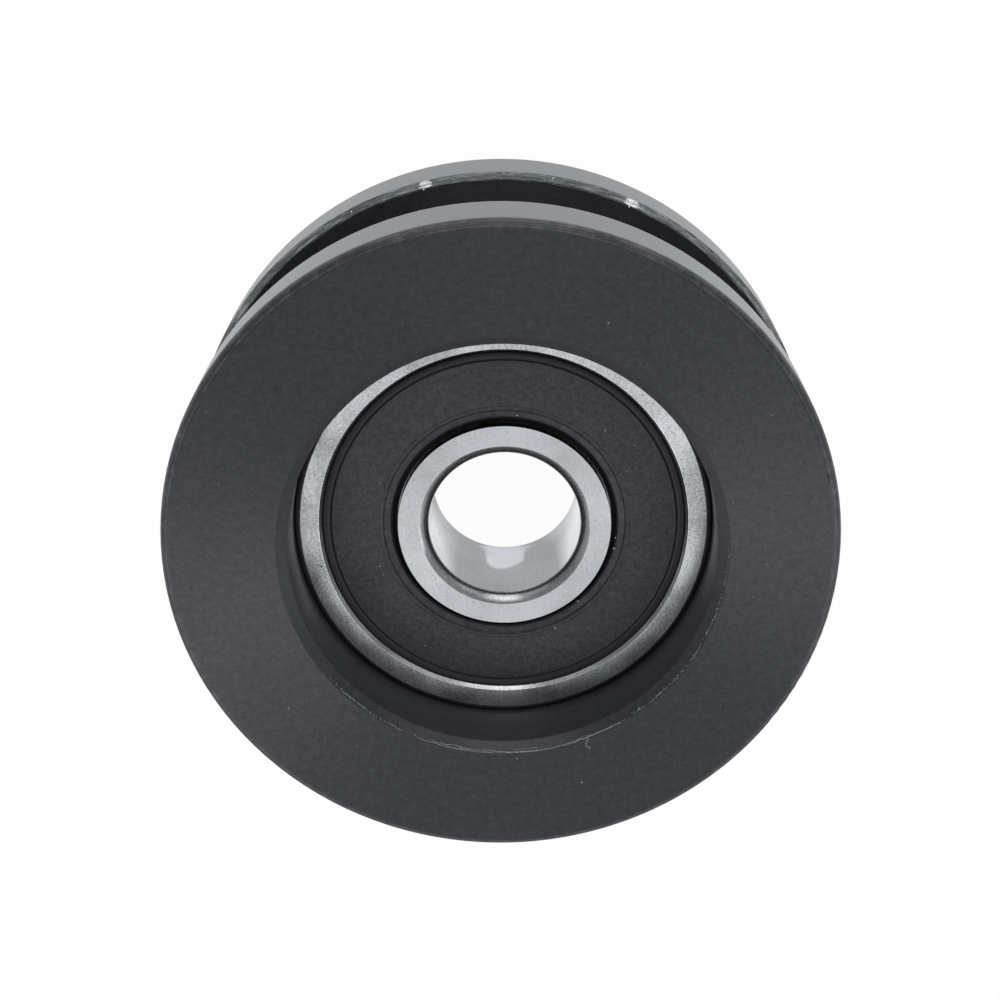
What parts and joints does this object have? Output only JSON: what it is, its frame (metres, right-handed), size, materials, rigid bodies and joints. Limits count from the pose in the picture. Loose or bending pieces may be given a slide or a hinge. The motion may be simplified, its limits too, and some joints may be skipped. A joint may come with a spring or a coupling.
{
  "type": "v groove wheel",
  "caption": "Black plastic guide wheel with a V groove round its rim, running on a sealed deep groove ball bearing sunk between its two end faces.",
  "frame": {"origin": "on the wheel's axis, in the plane of its rear end face, which is the face it rests on", "axes": "+Z along the axis from the rear end face to the front end face; the wheel is round, so +X points at the first ball"},
  "size_m": [0.0344, 0.0344, 0.015],
  "materials": {
    "black_nylon": "satin black turned nylon",
    "ring_steel": "ground bearing steel",
    "seal_rubber": "matt moulded nitrile",
    "cage_steel": "pressed strip",
    "ball_steel": "polished",
    "rivet_steel": "plain"
  },
  "bodies": {
    "inner_ring": {"inner_ring": "ring_steel"},
    "wheel": {"wheel": "black_nylon", "outer_ring": "ring_steel", "front_seal": "seal_rubber", "rear_seal": "seal_rubber"},
    "cage": {"cage_front": "cage_steel", "cage_rear": "cage_steel", "rivet_1": "rivet_steel", "rivet_2": "rivet_steel", "rivet_3": "rivet_steel", "rivet_4": "rivet_steel", "rivet_5": "rivet_steel", "rivet_6": "rivet_steel", "rivet_7": "rivet_steel"},
    "ball_1": {"ball_1": "ball_steel"},
    "ball_2": {"ball_2": "ball_steel"},
    "ball_3": {"ball_3": "ball_steel"},
    "ball_4": {"ball_4": "ball_steel"},
    "ball_5": {"ball_5": "ball_steel"},
    "ball_6": {"ball_6": "ball_steel"},
    "ball_7": {"ball_7": "ball_steel"}
  },
  "joints": [
    {"name": "wheel_spin", "type": "hinge", "parent": "inner_ring", "child": "wheel", "pos_m": [0, 0, 0.00775], "axis": [0, 0, 1], "continuous": true},
    {"name": "cage_spin", "type": "hinge", "parent": "inner_ring", "child": "cage", "pos_m": [0, 0, 0.00775], "axis": [0, 0, 1], "continuous": true},
    {"name": "ball_1_spin", "type": "hinge", "parent": "cage", "child": "ball_1", "pos_m": [0.0075, 0, 0.00775], "axis": [0, 0, 1], "continuous": true},
    {"name": "ball_2_spin", "type": "hinge", "parent": "cage", "child": "ball_2", "pos_m": [0.00468, 0.00586, 0.00775], "axis": [0, 0, 1], "continuous": true},
    {"name": "ball_3_spin", "type": "hinge", "parent": "cage", "child": "ball_3", "pos_m": [-0.00167, 0.00731, 0.00775], "axis": [0, 0, 1], "continuous": true},
    {"name": "ball_4_spin", "type": "hinge", "parent": "cage", "child": "ball_4", "pos_m": [-0.00676, 0.00325, 0.00775], "axis": [0, 0, 1], "continuous": true},
    {"name": "ball_5_spin", "type": "hinge", "parent": "cage", "child": "ball_5", "pos_m": [-0.00676, -0.00325, 0.00775], "axis": [0, 0, 1], "continuous": true},
    {"name": "ball_6_spin", "type": "hinge", "parent": "cage", "child": "ball_6", "pos_m": [-0.00167, -0.00731, 0.00775], "axis": [0, 0, 1], "continuous": true},
    {"name": "ball_7_spin", "type": "hinge", "parent": "cage", "child": "ball_7", "pos_m": [0.00468, -0.00586, 0.00775], "axis": [0, 0, 1], "continuous": true}
  ],
  "couplings": [
    {"joint": "cage_spin", "follows": "wheel_spin", "ratio": 0.6323},
    {"joint": "ball_1_spin", "follows": "wheel_spin", "ratio": 1.7573},
    {"joint": "ball_2_spin", "follows": "wheel_spin", "ratio": 1.7573},
    {"joint": "ball_3_spin", "follows": "wheel_spin", "ratio": 1.7573},
    {"joint": "ball_4_spin", "follows": "wheel_spin", "ratio": 1.7573},
    {"joint": "ball_5_spin", "follows": "wheel_spin", "ratio": 1.7573},
    {"joint": "ball_6_spin", "follows": "wheel_spin", "ratio": 1.7573},
    {"joint": "ball_7_spin", "follows": "wheel_spin", "ratio": 1.7573}
  ]
}
